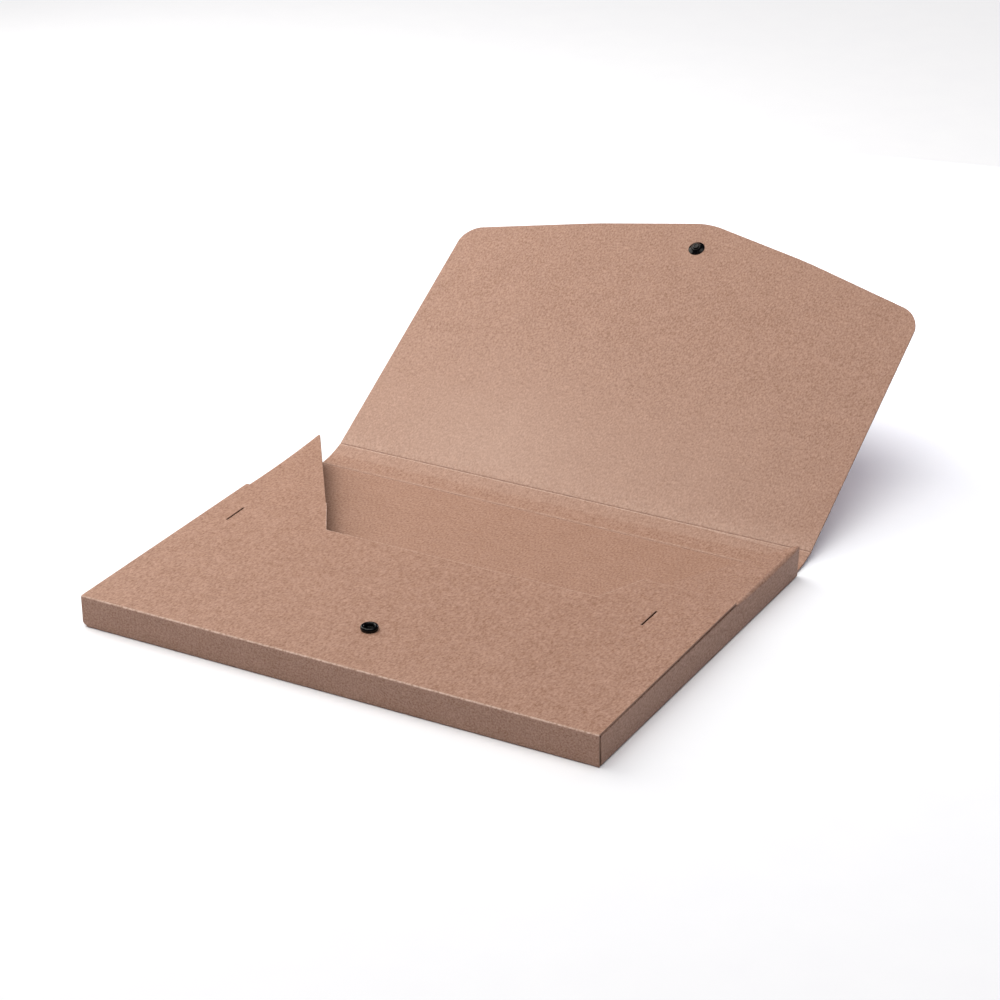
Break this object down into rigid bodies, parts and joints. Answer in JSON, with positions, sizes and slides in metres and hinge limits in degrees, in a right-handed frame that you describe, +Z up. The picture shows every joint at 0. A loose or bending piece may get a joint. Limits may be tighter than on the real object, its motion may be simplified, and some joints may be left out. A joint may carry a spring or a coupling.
{
  "type": "document case",
  "caption": "Flat document case of folded kraft card with a notched front panel, tucked side flaps, a creased spine and a pointed closing flap with a snap.",
  "frame": {"origin": "centre of the back panel's outer face, which the case rests on", "axes": "+X along the bottom wall to the right, +Y from the bottom wall to the spine, +Z up out of the back panel"},
  "size_m": [0.33, 0.4626, 0.1153],
  "materials": {
    "kraft_card": "matt recycled kraft card with a fine fibre speckle",
    "black_plastic": "moulded gloss black"
  },
  "bodies": {
    "case": {"back_panel": "kraft_card", "bottom_wall": "kraft_card", "left_wall": "kraft_card", "right_wall": "kraft_card", "left_tuck_flap": "kraft_card", "right_tuck_flap": "kraft_card", "front_panel": "kraft_card", "snap_socket": "black_plastic", "socket_cap": "black_plastic"},
    "spine": {"spine": "kraft_card"},
    "flap": {"flap": "kraft_card", "snap_stud": "black_plastic", "stud_cap": "black_plastic"}
  },
  "joints": [
    {"name": "spine_fold", "type": "hinge", "parent": "case", "child": "spine", "pos_m": [0, 0.12265, 0.001], "axis": [1, 0, 0], "range_deg": [-11.5, 78.5]},
    {"name": "flap_fold", "type": "hinge", "parent": "spine", "child": "flap", "pos_m": [0, 0.1447, 0.00549], "axis": [1, 0, 0], "range_deg": [-17.5, 72.1]}
  ]
}
